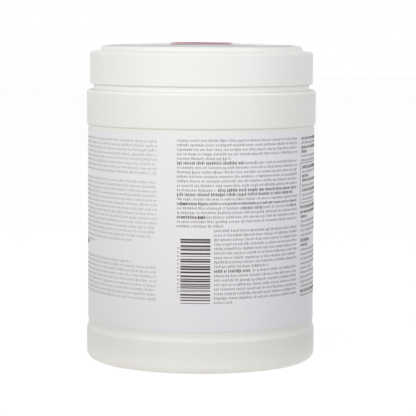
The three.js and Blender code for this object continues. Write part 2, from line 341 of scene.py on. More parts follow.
dome_radii = np.linspace(0, foot_inner - foot_depth, 22)
zero = np.zeros_like(dome_radii)
outside = [
    (foot_inner, 0, 0.5),
    (band_radius, 0, heel),
    (band_radius, base_band_top, 0.8),
    (panel_radius, panel_bottom, 5.0),
    (panel_radius, panel_top, 0.5),
    (band_radius, top_band_bottom, 0.6),
    (band_radius, shoulder, 1.6),
    (neck_radius, shoulder, 0.8),
    (neck_radius, neck_bead_low, 0.3),
    (neck_radius + neck_bead, neck_bead_low + 0.7, 0.35),
    (neck_radius + neck_bead, neck_bead_high - 0.7, 0.35),
    (neck_radius, neck_bead_high, 0.3),
    (neck_radius, neck_top, 0.25),
]
inside = [
    (mouth_radius, neck_top, 0.25),
    (mouth_radius, neck_top - 1.4, 0.4),
    (bore_radius, neck_top - 2.4, 0.4),
    (bore_radius, shoulder - wall, 1.0),
    (band_radius - wall, shoulder - wall - 3.8, 1.0),
    (band_radius - wall, top_band_bottom, 1.0),
    (panel_radius - wall, panel_top, 1.0),
    (panel_radius - wall, panel_bottom, 1.0),
    (band_radius - wall, base_band_top, 1.0),
    (band_radius - wall, wall, heel - wall),
    (foot_inner, wall, 0.4),
]
under = np.stack([dome_radii, base_curve(dome_radii, 0), zero], -1)
over = np.stack([dome_radii, base_curve(dome_radii, wall), zero], -1)[::-1]
canister_profile = outline(np.concatenate([under, outside, inside, over]))
line_columns = np.array([-0.5, -0.3, -0.18, -0.08, 0, 0.08, 0.18, 0.3, 0.5]) / band_radius
canister_angles = around(round_columns, math.pi / 2 + line_columns, -math.pi / 2 + line_columns)
angle = canister_angles[:, None]
radius, height = canister_profile[None, :, 0], canister_profile[None, :, 1]
from_line = np.arccos(np.clip(np.abs(np.sin(angle)), 0, 1)) * band_radius
ridge = mould_line * np.exp(-((from_line / mould_line_half) ** 2))
rim_side = (radius > neck_radius - 0.3) & (height > 1.0)
grown = radius + swell(angle, height) * (radius > foot_inner) + ridge * rim_side
canister = skinned("canister_shell", on_axis(grown, angle, height))


def finish(name, base, roughness, **plain):
    """A material with its shader. Sockets that are the same all over are set on the shader."""
    material = bpy.data.materials.new(name)
    tree = Tree(material)
    shader = tree.tree.nodes["Principled BSDF"]
    shader.inputs["Base Color"].default_value = base
    shader.inputs["Roughness"].default_value = roughness
    for key, value in plain.items():
        shader.inputs[key.replace("_", " ")].default_value = value
    return material, tree, shader


def grain(tree, size, detail=2.0, stretch=(1.0, 1.0, 1.0), seed=0.0):
    """Noise whose patches are about that many millimetres wide, from 0 to 1."""
    place = tree.node("TexCoord", {}, {}, "Object")
    scaled = tree.node(
        "Mapping", {}, {"Vector": place, "Location": (seed, seed, seed), "Scale": stretch}
    )
    return tree.node(
        "TexNoise", {}, {"Vector": scaled, "Scale": 1000.0 / size, "Detail": detail}, "Fac"
    )


def height_of(tree):
    """Height above the table, in millimetres."""
    place = tree.node("TexCoord", {}, {}, "Object")
    return tree.node("SeparateXYZ", {}, {0: place}, "Z") * 1000.0


def step_up(tree, value, start, end):
    """0 below start, 1 above end, and smooth between them."""
    settings = {"interpolation_type": "SMOOTHSTEP"}
    return tree.node("MapRange", settings, {"Value": value, "From Min": start, "From Max": end})


def relief(tree, shader, bumps):
    """Bumps in a row, each (height field, depth in millimetres), that tilt the shader's normal."""
    normal = None
    for field, depth in bumps:
        inputs = {"Height": field, "Distance": depth * 0.001, "Strength": 1.0}
        if normal is not None:
            inputs["Normal"] = normal
        normal = tree.node("Bump", {}, inputs)
    tree.feed(shader.inputs["Normal"], normal)


def dress(thing, material, body, stands_for=()):
    """Gives a piece its finish, the body that it rides on and the nodes it replaces."""
    thing.data.materials.append(material)
    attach(thing, body)
    if stands_for:
        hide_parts(*stands_for)
    return thing


blown_white = colour(240, 239, 236)
blown_shade = colour(234, 233, 229)
neck_painted_light = colour(250, 249, 246)
foot_warm_tone = colour(218, 213, 203)
blown_plastic, tree, shader = finish(
    "blown_plastic", blown_white, 0.42, Specular_IOR_Level=0.2, IOR=1.54
)
cloud = grain(tree, 38.0, 3.0)
streak = grain(tree, 3.0, 2.0, (1.0, 1.0, 0.03), 3.1)
peel = grain(tree, 1.1, 2.0)
# Below about 6 mm the colour turns warmer and darker in patches towards the foot.
low_down = 1 - step_up(tree, height_of(tree), 0.4, 6.0)
mottled = tree.mix(cloud * 0.5 + streak * 0.3, blown_white, blown_shade)
# Above the shoulder the plastic is painted lighter: a painted light that stands in for light
# shining through the thin neck.
painted_light_on_neck = step_up(tree, height_of(tree), shoulder - 1.4, shoulder - 0.2)
mottled = tree.mix(painted_light_on_neck * (1 - streak * 0.3), mottled, neck_painted_light)
blown_colour_with_painted_light = tree.mix(low_down * grain(tree, 5.0, 4.0, seed=1.7) * 0.8, mottled, foot_warm_tone)
tree.feed(shader.inputs["Base Color"], blown_colour_with_painted_light)
tree.feed(shader.inputs["Roughness"], cloud * 0.1 + peel * 0.08 + 0.33)
relief(tree, shader, [(streak, 0.012), (peel, 0.012), (grain(tree, 0.22), 0.003)])
dress(canister, blown_plastic, "canister", ["canister"])


# Base weld: the low ridge where the mould halves pinched the tube of hot plastic shut. It runs
# across the raised base and is trimmed flush by hand, so its crest is a little uneven.

weld_half_length = 47.8
weld_half_width = 0.8
weld_rise = 0.5
along = np.linspace(-1, 1, 97)[:, None]
across = np.linspace(-1, 1, 9)[None, :]
weld_x = along * weld_half_length
taper = np.clip((1 - np.abs(along)) / 0.06, 0, 1)
crest = weld_rise * (1 - across**2) * np.sqrt(taper) * (1 + 0.12 * np.sin(37 * along + 5 * across))
weld_y = across * weld_half_width + 0 * along
weld_under = base_curve(np.hypot(weld_x, weld_y), 0)
weld_low = np.stack([weld_x + 0 * across, weld_y, weld_under - crest], -1)
weld_top = np.stack([weld_x + 0 * across, weld_y, weld_under + 0.3], -1)[:, ::-1]
weld = skinned("base_weld", np.concatenate([weld_low, weld_top], 1), False, True)
dress(weld, blown_plastic, "canister")


# Wrap label: one piece of printed polypropylene film, laid round the panel and lapped over its
# own start. The film has an unprinted margin along its top edge and a soft gloss varnish.

label_inner = 63.2
label_thickness = 0.15
label_low = 23.1
label_high = 129.4
label_seam = math.radians(135)
label_lap = math.radians(6.43)
label_rise = math.radians(1.4)
label_lift = 0.25
top_margin = 0.9

sweep = np.unique(
    np.concatenate(
        [
            np.linspace(0, 2 * math.pi + label_lap, 292),
            np.linspace(2 * math.pi - label_rise, 2 * math.pi, 8),
        ]
    )
)[:, None]
climb = np.clip((sweep - 2 * math.pi + label_rise) / label_rise, 0, 1)
label_base = label_inner + label_lift * climb * climb * (3 - 2 * climb)
label_angle = sweep + label_seam
label_section = outline(
    [
        (0, label_low + 5, 0),
        (0, label_low, 0.05),
        (label_thickness, label_low, 0.05),
        (label_thickness, label_high, 0.05),
        (0, label_high, 0.05),
        (0, label_low + 5.2, 0),
    ],
    support=0.15,
    steps=3,
)[None]
label_height = label_section[..., 1]
label_radius = label_base + label_section[..., 0] + swell(label_angle, label_height)


def capped(grid):
    """A grid with both ends closed: past each end's row comes one drawn in to its middle."""
    ends = grid[[0, -1]].mean(1, keepdims=True) + 0 * grid[[0, -1]]
    return np.concatenate([ends[:1], grid, ends[1:]])


label_grid = capped(on_axis(label_radius, label_angle, label_height))
label = skinned("wrap_label", label_grid, False, True)

film_ground = colour(240, 238, 240)
film_deep = colour(234, 232, 237)
film_margin = colour(236, 235, 237)
label_film, tree, shader = finish(
    "label_film", film_ground, 0.4, Specular_IOR_Level=0.15, Coat_Roughness=0.2
)
tint = grain(tree, 26.0, 3.0, seed=2.3)
screen = grain(tree, 0.35, 1.0, seed=4.4)
printed = tree.mix(tint * 0.7 + screen * 0.3, film_ground, film_deep)
at_top = step_up(tree, height_of(tree), label_high - top_margin - 0.15, label_high - top_margin)
tree.feed(shader.inputs["Base Color"], tree.mix(at_top, printed, film_margin))
tree.feed(shader.inputs["Roughness"], grain(tree, 9.0, 3.0) * 0.14 + 0.33)
tree.feed(shader.inputs["Coat Weight"], tint * 0.1 + 0.05)
relief(tree, shader, [(grain(tree, 7.0, 2.0), 0.03), (screen, 0.002)])
dress(label, label_film, "canister", ["body_label"])


# Print on the back of the label: three columns of small type, a box of rules and a ladder bar
# code, all in one dark ink laid on the film by offset press. Type is stood for by plain dashes,
# in paler tones where the strokes are finer.

label_face = label_inner + label_thickness
ink_depth = 0.02
ink_rise = 0.04
type_height = 1.0
bold_height = 1.3
dash_gap = 0.46
word_gap = 1.05
least_word = 2
most_word = 9
least_dash, most_dash = 0.3, 0.62
tall_share, tall_rise = 0.3, 0.3
deep_share, deep_drop = 0.14, 0.28
edge_slack = 0.2
chance = np.random.default_rng(31)


def on_label(across, up, lift):
    """Wraps the label's own millimetres round the canister: across is arc length from the middle
    of the back, up is height, lift is how far a point stands off the film."""
    angle = across / label_face
    return on_axis(label_face + lift + swell(angle, up), angle, up)


def bars(name, areas, place, segments=1):
    """Thin closed bars. Each area is (left, right, bottom, top) in a sticker's own measures, and
    place carries those to the frame. A long bar is cut in segments so that it follows the curve."""
    areas = np.asarray(areas, float)
    share = np.linspace(0, 1, segments + 1)
    across = areas[:, :1] + (areas[:, 1:2] - areas[:, :1]) * share
    up = areas[:, [2, 2, 3, 3]]
    lift = np.array([-ink_depth, ink_rise, ink_rise, -ink_depth])
    points = place(*np.broadcast_arrays(across[:, :, None], up[:, None, :], lift))
    index = np.arange(len(areas) * (segments + 1) * 4).reshape(len(areas), segments + 1, 4)
    near, far = index[:, :-1], index[:, 1:]
    sides = np.stack([near, np.roll(near, -1, 2), np.roll(far, -1, 2), far], -1).reshape(-1, 4)
    ends = np.concatenate([index[:, 0, ::-1], index[:, -1]])
    return piece(name, points, np.concatenate([sides, ends]), smooth=False, weld=False)


def dashes(middle, left, right, height=type_height, least=least_dash, most=most_dash):
    """A line of type as dashes: lengths vary, a wider gap ends each word of a few dashes, and some
    dashes reach up or down as tall letters do."""
    count = int((right - left) / least)
    lengths = chance.uniform(least, most, count)
    word_ends = np.cumsum(chance.integers(least_word, most_word, count, endpoint=True))
    gaps = np.where(np.isin(np.arange(1, count + 1), word_ends), word_gap, dash_gap)
    ends = left + np.cumsum(lengths + gaps) - gaps
    tall = (chance.random(count) < tall_share) * tall_rise
    deep = (chance.random(count) < deep_share) * deep_drop
    low = middle - height / 2 - deep
    high = middle + height / 2 + tall
    rows = np.stack([ends - lengths, ends, low, high], -1)
    return rows[ends <= right + edge_slack]


def lines(first, count, left, right, pitch, short=()):
    """Lines of type one pitch apart from a first height down. Short ones end before the edge."""
    ends = dict(short)
    rows = [dashes(first - row * pitch, left, ends.get(row, right)) for row in range(count)]
    return np.concatenate(rows)


left_edge = -92.0
left_end = -24.0
middle_edge = -12.6
middle_end = 61.5
right_edge = 66.3
right_end = 112.0
code_left = -10.6
code_right = 5.4
code_low = 38.55
code_high = 74.95
code_bar_step = 0.3
code_space_step = 0.4
tick_left = -12.4
tick_right = -11.3
tick_height = 0.9
wide_pitch = 2.43
close_pitch = 2.405

left_type = [
    lines(124.85, 8, left_edge, left_end, wide_pitch),
    lines(102.95, 13, left_edge, left_end, wide_pitch, {12: -27.5}),
    dashes(71.2, left_edge, -38.6),
    dashes(68.6, left_edge, -73.7),
    dashes(59.55, left_edge, -40.0),
    lines(57.2, 8, left_edge, left_end, wide_pitch),
]
left_print = bars("label_type_left", np.concatenate(left_type), on_label)

plain_type = [
    lines(125.7, 5, middle_edge, middle_end, close_pitch, {4: 15.9}),
    dashes(113.7, 24.2, middle_end),
    lines(111.3, 5, middle_edge, middle_end, close_pitch),
    dashes(99.25, middle_edge, 8.5),
    lines(94.45, 2, middle_edge, middle_end, close_pitch),
    dashes(92.05, 5.0, middle_end),
    dashes(89.65, middle_edge, 22.6),
    dashes(89.65, 36.8, 55.0),
    lines(87.25, 4, middle_edge, middle_end, close_pitch, {3: 12.9}),
    lines(77.6, 9, 7.5, middle_end, close_pitch, {8: 39.6}),
    dashes(55.9, 29.2, middle_end),
    lines(53.4, 7, 7.5, middle_end, close_pitch, {6: 17.8}),
    dashes(122.95, right_edge, right_end),
    lines(115.8, 2, right_edge, right_end, 2.5, {1: 92.0}),
    dashes(107.1, right_edge + 1.2, right_end - 1.5),
    dashes(99.5, right_edge + 1.2, right_end - 1.5),
    lines(94.35, 2, right_edge + 1.2, right_end - 1.5, wide_pitch, {1: 88.0}),
    lines(79.9, 4, right_edge, right_end, 2.53, {3: 86.0}),
    lines(64.2, 9, right_edge, right_end, 2.52, {4: 84.0}),
    dashes(39.1, right_edge, 96.0),
]
plain_print = bars("label_type", np.concatenate(plain_type), on_label)

bold_type = [
    dashes(113.7, middle_edge, 23.2, bold_height),
    dashes(99.25, 9.4, middle_end, bold_height),
    dashes(96.9, middle_edge, 57.0, bold_height),
    dashes(92.05, middle_edge, 4.4, bold_height),
    dashes(89.65, 23.4, 35.9, bold_height),
    dashes(89.65, 55.6, middle_end, bold_height),
    dashes(84.85, middle_edge, 2.5, bold_height),
    dashes(55.9, 7.5, 28.3, bold_height),
    dashes(125.4, right_edge, 100.0, bold_height),
    dashes(120.5, right_edge, right_end - 1.0, bold_height),
    dashes(118.2, right_edge, 74.5, bold_height),
    dashes(109.6, right_edge + 1.2, 100.0, 1.5),
    dashes(104.7, right_edge + 1.2, 76.0, bold_height),
    dashes(102.4, right_edge + 1.2, 104.0, bold_height),
    dashes(96.9, right_edge + 1.2, 98.0, bold_height),
    dashes(87.8, right_edge - 0.8, right_end, 1.6),
    dashes(85.0, right_edge - 0.8, 104.0, bold_height),
    dashes(82.5, right_edge, 74.0, bold_height),
    dashes(69.4, right_edge, 78.0, 1.6),
    dashes(66.8, right_edge, 76.0, bold_height),
    dashes(41.4, right_edge, 104.0, 1.5),
    dashes(66.6, -92.0, -83.5, 1.9, 0.9, 1.6),
]
bold_print = bars("label_bold_type", np.concatenate(bold_type), on_label)

rules = [
    (right_edge - 1.3, right_end, 111.75, 112.05),
    (right_edge - 1.3, right_end, 89.95, 90.25),
    (right_edge - 1.3, right_edge - 1.0, 89.95, 112.05),
    (right_end - 0.3, right_end, 89.95, 112.05),
]
rule_print = bars("label_rules", rules, on_label, 40)

modules = chance.integers(1, 4, 60) * np.tile([code_bar_step, code_space_step], 30)
edges = code_low + np.concatenate([[0.0], np.cumsum(modules)])
edges = edges[edges < code_high]
edges = edges[: len(edges) // 2 * 2].reshape(-1, 2)
code_bars = np.stack([0 * edges[:, 0] + code_left, 0 * edges[:, 0] + code_right, *edges.T], -1)
code_print = bars("label_bar_code", code_bars, on_label, 12)
tick_low = np.linspace(code_low + 6.0, code_high - 7.0, 12)
ticks = [(tick_left, tick_right, low, low + tick_height) for low in tick_low]
tick_print = bars("label_code_ticks", ticks, on_label)


def ink(name, tone, weak, patch=1.4, gloss=0.35):
    """Printing ink: denser and weaker in fine patches, and duller where it is thick."""
    material, tree, shader = finish(name, tone, 0.45, Specular_IOR_Level=gloss)
    density = grain(tree, patch, 3.0, seed=6.0)
    tree.feed(shader.inputs["Base Color"], tree.mix(density * 0.5, tone, weak))
    tree.feed(shader.inputs["Roughness"], density * 0.15 + 0.4)
    relief(tree, shader, [(grain(tree, 0.3, seed=2.0), 0.002)])
    return material


type_ink = ink("type_ink", colour(146, 140, 143), colour(171, 165, 168))
faint_ink = ink("faint_ink", colour(183, 179, 180), colour(202, 199, 199))
bold_ink = ink("bold_ink", colour(80, 73, 73), colour(104, 97, 97), gloss=0.1)
code_ink = ink("code_ink", colour(58, 46, 42), colour(72, 61, 57))
for print_piece, print_ink in [
    (left_print, faint_ink),
    (plain_print, type_ink),
    (bold_print, bold_ink),
    (rule_print, bold_ink),
    (code_print, code_ink),
    (tick_print, faint_ink),
]:
    dress(print_piece, print_ink, "canister")


# Print on the front of the label, which the photograph doesn't show: a plain display panel with
# a pale blue field, a red roundel, headline bars and rows of small type, in flat colours.

front = math.pi * label_face
field_left, field_right = front - 37.0, front + 37.0
roundel_up = 76.0


def roundel(name, centre_across, centre_up, size, place, lift=ink_rise, hollow=0.0):
    """A thin printed disc, or a ring where hollow is above 0, on a sticker's own measures."""
    turn_angle = np.arange(72)[:, None] * 2 * math.pi / 72
    reach = np.linspace(hollow, 1, 12) * size
    reach = np.concatenate([reach, reach[::-1]])[None]
    level = np.repeat([lift, -ink_depth], 12)[None]
    across = centre_across + reach * np.cos(turn_angle)
    up = centre_up + reach * np.sin(turn_angle)
    return skinned(name, place(across, up, level + 0 * across), True, hollow > 0)


front_blue = bars("label_front_field", [(field_left, field_right, 92.0, 125.5)], on_label, 60)
front_band = bars("label_front_band", [(field_left, field_right, 26.5, 38.0)], on_label, 60)
front_disc = roundel("label_front_roundel", front, roundel_up, 13.0, on_label)
front_ring = roundel("label_front_ring", front, roundel_up, 15.2, on_label, ink_rise, 0.93)
front_heads = bars(
    "label_front_headlines",
    [(front - 28, front + 28, 113.0, 119.0), (front - 20, front + 20, 105.5, 109.0)]
    + [(front - 24, front + 24, 98.5, 100.3)],
    lambda across, up, lift: on_label(across, up, lift + ink_rise),
    40,
)
front_small = bars(
    "label_front_type",
    np.concatenate([dashes(56.5 - 2.6 * row, front - 27, front + 27) for row in range(5)]),
    on_label,
)
pale_blue = ink("pale_blue_ink", colour(176, 199, 212), colour(188, 208, 219), 6.0)
warm_red = ink("warm_red_ink", colour(190, 66, 74), colour(201, 84, 91), 5.0, 0.05)
deep_blue = ink("deep_blue_ink", colour(52, 74, 110), colour(66, 88, 122), 4.0)
for print_piece, print_ink in [
    (front_blue, pale_blue),
    (front_band, pale_blue),
    (front_disc, warm_red),
    (front_ring, pale_blue),
    (front_heads, deep_blue),
    (front_small, type_ink),
]:
    dress(print_piece, print_ink, "canister")


# Roll of wipes: a long web of wet-laid fleece, perforated into sheets and wound without a core.
# It is pulled from the middle. Each turn drawn here stands for about sixteen real ones.

roll_low = 5.5
roll_high = 157.9
roll_radius = 56.0
roll_hole = 8.0
roll_turns = 9
roll_gap = 0.45
roll_steps = 72
sheet_end = 0.4

roll_pitch = (roll_radius - roll_hole + roll_gap) / roll_turns
run_out = roll_steps * (roll_gap + sheet_end) / roll_pitch
turn_index = np.arange(math.ceil(run_out), math.floor(roll_steps * (roll_turns + 1) - run_out) + 1)
turn_share = (turn_index / roll_steps)[:, None]
turn_outer = np.minimum(roll_radius, roll_hole + roll_pitch * turn_share - roll_gap)
turn_inner = np.maximum(roll_hole, roll_hole + roll_pitch * (turn_share - 1))
half_in = np.array([0.5, 0.2, 0.03, 0, 0, 0.03, 0.2, 0.5])
half_up = np.array([0, 0, 0.25, 1.0, -1.0, -0.25, 0, 0])
edge_in = np.concatenate([half_in, 1 - half_in])[None]
edge_up = np.concatenate([half_up, -half_up])[None]
from_top = np.isin(np.arange(16) // 4, [1, 2])[None]
edge_radius = turn_inner + (turn_outer - turn_inner) * edge_in
drift = 0.25 * np.sin(turn_share * 11.0) + 0.15 * np.sin(turn_share * 31.0)
edge_height = np.where(from_top, roll_high - 0.45 + drift, roll_low + 0.05) + edge_up
roll_angle = -turn_share * 2 * math.pi
roll_grid = capped(on_axis(edge_radius, roll_angle + math.pi / 2, edge_height))
roll = skinned("roll_of_wipes", roll_grid, False, True)

fleece_white = colour(243, 244, 242)
fleece_shade = colour(228, 230, 229)
fleece, tree, shader = finish("wet_fleece", fleece_white, 0.85, Sheen_Weight=0.2)
place = tree.node("TexCoord", {}, {}, "Object")
cells = tree.node("TexVoronoi", {"feature": "F1"}, {"Vector": place, "Scale": 420.0}, "Distance")
fibres = grain(tree, 0.5, 6.0, (1.0, 1.0, 0.25))
layers = grain(tree, 0.9, 2.0, (1.0, 1.0, 0.02), 5.0)
dull = fibres * 0.6 + cells * 0.3
tree.feed(shader.inputs["Base Color"], tree.mix(dull, fleece_white, fleece_shade))
tree.feed(shader.inputs["Roughness"], fibres * 0.2 + 0.7)
relief(tree, shader, [(cells, 0.12), (layers, 0.1), (fibres, 0.06)])
dress(roll, fleece, "canister", ["wipe_roll"])


# Inner seal: aluminium foil laminated to a heat-seal film and welded to the rim of the neck by
# induction. It has a pressed ring over the rim, slight puckers inside, and a folded pull tab.

seal_radius = 59.8
press_inner = 57.2
press_outer = 58.3
seal_low = neck_top
seal_high = 169.55
tab_half = 11.0
tab_length = 17.0
tab_thickness = 0.25
tab_fold = math.sqrt(mouth_radius**2 - tab_half**2)

seal_profile = outline(
    [
        (0, seal_low, 0),
        (press_inner, seal_low, 0),
        (seal_radius, seal_low, 0.08),
        (seal_radius, seal_high, 0.08),
        (press_outer, seal_high, 0.05),
        (press_outer - 0.4, seal_high - 0.08, 0.05),
        (press_inner, seal_high, 0),
        (0, seal_high, 0),
    ],
    2.5,
)
seal_angle = around(round_columns)[:, None]
seal_from = seal_profile[None, :, 0]
seal_fade = np.clip((57 - seal_from) / 8, 0, 1) * np.clip(seal_from / 12, 0, 1)
pucker = np.sin(17 * seal_angle + 0.12 * seal_from) * 0.5 + np.sin(9 * seal_angle - 0.3 * seal_from)
seal_height = seal_profile[None, :, 1] + 0.07 * seal_fade * (pucker + np.sin(seal_from / 2.3))
seal = skinned("seal_disc", on_axis(seal_from, seal_angle, seal_height))

fold_turn = np.linspace(-math.pi / 2, math.pi / 2, 9)
fold_size = 0.15
fold_y = np.concatenate([[tab_fold - 1.2], tab_fold - 0.3 + fold_size * np.cos(fold_turn)])
fold_z = np.concatenate([[seal_high - 0.05], seal_high + 0.08 + fold_size * np.sin(fold_turn)])
lay_share = np.linspace(0.03, 1, 34)
lay_y = tab_fold - 0.3 - lay_share * (tab_length - 0.3)
lay_z = seal_high + 0.23 + 0.45 * lay_share**3 + 0.03 * np.sin(lay_share * 19)
tab_y = np.concatenate([fold_y, lay_y])[:, None]
tab_z = np.concatenate([fold_z, lay_z])[:, None]
tip = tab_fold - tab_length + tab_half
tab_wide = np.sqrt(np.clip(tab_half**2 - np.clip(tip - tab_y, 0, None) ** 2, 0, None))
tab_across = np.linspace(-1, 1, 25)[None]
tab_bend = 0.05 * np.sin(tab_across * 5 + tab_y)
tab_upper = np.stack(np.broadcast_arrays(tab_wide * tab_across, tab_y, tab_z + tab_bend), -1)
tab_lower = tab_upper[:, ::-1] - np.array([0, 0, tab_thickness * 0.4])
tab_grid = np.concatenate([tab_upper, tab_lower], 1)
tab_root = tab_grid[:1].mean(1, keepdims=True) + 0 * tab_grid[:1]
pull_tab = skinned("pull_tab", np.concatenate([tab_root, tab_grid]), False, True)

foil_tone = colour(203, 206, 210)
foil_dull = colour(180, 184, 190)
seal_foil, tree, shader = finish("seal_foil", foil_tone, 0.3, Metallic=0.9)
place = tree.node("TexCoord", {}, {}, "Object")
dimple = tree.node("TexVoronoi", {"feature": "F1"}, {"Vector": place, "Scale": 900.0}, "Distance")
rolled = grain(tree, 1.2, 3.0, (0.05, 1.0, 1.0))
tree.feed(shader.inputs["Base Color"], tree.mix(rolled * 0.6, foil_tone, foil_dull))
tree.feed(shader.inputs["Roughness"], rolled * 0.2 + grain(tree, 14.0) * 0.15 + 0.18)
relief(tree, shader, [(dimple, 0.05), (grain(tree, 5.0, 3.0), 0.12)])
dress(seal, seal_foil, "canister", ["foil_seal"])
dress(pull_tab, seal_foil, "canister")


# Lid: one push-on moulding of white polypropylene with a smooth skirt, a ledge and a raised
# drum. Its slightly conical deck holds a round well, whose floor has the dispensing hole with
# slits between stiff fingers, a low collar and a scoop for the thumb.

skirt_low = 154.2
skirt_outer = 62.3
skirt_inner = 61.3
lid_bead_at = 156.2
lid_bead = 0.35
seat = 169.85
seat_inner = 58.4
seat_outer = 59.8
lid_under = 171.0
lid_shoulder = 172.2
lid_wall = 1.2
drum_foot = 56.4
drum_top = 55.7
deck_edge = 175.1
deck_edge_radius = 54.7
well_radius = 18.85
well_rim = 176.3
ledge = 175.05
ledge_radius = 17.55
well_floor = 173.85
well_wall = 1.1
collar_inner = 8.5
collar_outer = 9.6
collar_high = 174.75
finger_root = 8.3
hole_radius = 3.5
slit_half = 0.45
slit_reach = 7.0
slit_count = 6
land_edge = 17.95
land_inner = 17.7
land_outer = 21.5
scoop_at = 21.05
scoop_ball = 20.0
scoop_depth = 0.75
scoop_limit = 7.0
lid_columns = 204
deck_slope = (well_rim - deck_edge) / (deck_edge_radius - well_radius)


def deck(radius):
    """Height of the conical deck at a distance from the axis: a straight fall to its edge."""
    return deck_edge + deck_slope * (deck_edge_radius - radius)


deck_fine = np.linspace(29.0, well_radius + 0.6, 14)
deck_points = np.stack([deck_fine, deck(deck_fine), 0 * deck_fine], -1)
lid_underside = [
    (hole_radius, well_floor - 0.5, 0),
    (hole_radius, well_floor - well_wall, 0.2),
    (finger_root, well_floor - well_wall, 0),
    (well_radius + well_wall, well_floor - well_wall, 0.4),
    (well_radius + well_wall, deck(well_radius + well_wall) - lid_wall, 0.4),
    (drum_foot - lid_wall - 0.7, deck(drum_foot - lid_wall) - lid_wall, 0.5),
    (drum_foot - lid_wall, lid_under, 0.3),
    (seat_inner, lid_under, 0.3),
    (seat_inner, seat, 0.25),
    (seat_outer, seat, 0.25),
    (seat_outer, lid_under, 0.3),
    (skirt_inner, lid_under, 0.4),
    (skirt_inner, lid_bead_at + 0.8, 0.2),
    (skirt_inner - lid_bead, lid_bead_at + 0.27, 0.2),
    (skirt_inner - lid_bead, lid_bead_at - 0.27, 0.2),
    (skirt_inner, lid_bead_at - 0.8, 0.2),
    (skirt_inner, skirt_low, 0.3),
]
lid_outside = [
    (skirt_outer, skirt_low, 0.3),
    (skirt_outer, lid_shoulder, 1.6),
    (drum_foot + 0.1, lid_shoulder, 1.8),
    (drum_top, deck_edge, 1.0),
    *deck_points.tolist(),
    (well_radius, well_rim, 0.25),
    (well_radius, ledge, 0.15),
    (ledge_radius, ledge, 0.2),
    (ledge_radius, well_floor, 0.3),
    (collar_outer, well_floor, 0.3),
    (collar_outer, collar_high, 0.3),
    (collar_inner, collar_high, 0.3),
    (collar_inner, well_floor, 0.12),
    (finger_root, well_floor, 0),
    (hole_radius, well_floor, 0.2),
    (hole_radius, well_floor - 0.5, 0),
]
lid_profile = outline(lid_underside + lid_outside, 5.0, 0.25)[:-1]
outer_start = int(np.argmax(lid_profile[:, 0] > skirt_outer - 0.05))
slit_edges = np.concatenate(
    [
        np.arcsin(slit_half / np.linspace(hole_radius, slit_reach - 0.02, 9)),
        [math.asin(slit_half / slit_reach) - 0.002, 0.03],
    ]
)
slit_columns = [
    i * 2 * math.pi / slit_count + math.pi / 2 + side * slit_edges
    for i in range(slit_count)
    for side in (-1, 1)
]
scoop_columns = math.pi + np.radians(np.linspace(-17, 17, 57))
lid_angles = around(lid_columns, *slit_columns, scoop_columns)[:, None]


def slit_offset(angle):
    """Angle from the middle of the nearest slit."""
    spacing = 2 * math.pi / slit_count
    return (angle - math.pi / 2 + spacing / 2) % spacing - spacing / 2


off_slit = np.abs(slit_offset(lid_angles))
slit_side = slit_half / np.maximum(np.sin(off_slit), 1e-6)
hole_edge = np.clip(slit_side, hole_radius, slit_reach / np.cos(off_slit))
base_radius, base_height = lid_profile[None, :, 0], lid_profile[None, :, 1]
finger = (finger_root - hole_edge) / (finger_root - hole_radius)
lid_radius = np.where(
    base_radius < finger_root, finger_root - (finger_root - base_radius) * finger, base_radius
)
toward_hinge = np.maximum(np.cos(lid_angles), 0.2)
well_edge = np.minimum(well_radius, land_edge / toward_hinge)
is_outer = np.arange(len(lid_profile))[None] >= outer_start
inner_span = is_outer & (base_radius > land_inner) & (base_radius <= well_radius + 1e-6)
outer_span = is_outer & (base_radius > well_radius) & (base_radius < land_outer)
inner_scale = (well_edge - land_inner) / (well_radius - land_inner)
outer_scale = (land_outer - well_edge) / (land_outer - well_radius)
inner_moved = land_inner + (base_radius - land_inner) * inner_scale
outer_moved = well_edge + (base_radius - well_radius) * outer_scale
lid_radius = np.where(inner_span, inner_moved, lid_radius)
lid_radius = np.where(outer_span, outer_moved, lid_radius)
lid_grid = on_axis(lid_radius, lid_angles, base_height)
from_scoop = np.hypot(lid_grid[..., 0], lid_grid[..., 1] - scoop_at)
scoop_floor = deck(scoop_at) + scoop_ball - scoop_depth
scoop_floor = scoop_floor - np.sqrt(np.maximum(scoop_ball**2 - from_scoop**2, 0))
dished = is_outer & (from_scoop < scoop_limit) & (lid_grid[..., 2] > ledge + 0.05)
lid_grid[..., 2] = np.where(dished, np.minimum(lid_grid[..., 2], scoop_floor), lid_grid[..., 2])
lid = skinned("lid_shell", lid_grid, True, True)

moulded_white = colour(243, 242, 240)
moulded_shade = colour(237, 236, 233)
moulded_plastic, tree, shader = finish(
    "moulded_plastic", moulded_white, 0.36, Specular_IOR_Level=0.22, IOR=1.5
)
flow = grain(tree, 30.0, 3.0, seed=8.0)
spark = grain(tree, 0.3, 3.0)
scuff = grain(tree, 2.4, 4.0, (1.0, 1.0, 0.2), 9.0)
worn = flow * 0.6 + scuff * 0.25
tree.feed(shader.inputs["Base Color"], tree.mix(worn, moulded_white, moulded_shade))
tree.feed(shader.inputs["Roughness"], flow * 0.08 + scuff * 0.12 + 0.28)
relief(tree, shader, [(flow, 0.03), (spark, 0.004)])
dress(lid, moulded_plastic, "lid", ["lid"])


# Lid sticker: a pale printed ring of film on the deck, cut out round the thumb scoop. Its print
# is a plain ring, short arcs and rows of small type.

sticker_inner = 19.85
sticker_outer = 53.1
sticker_low = 0.1
sticker_thickness = 0.15
notch_reach = math.sqrt(2 * scoop_ball * scoop_depth) + 0.8
sticker_top = sticker_low + sticker_thickness

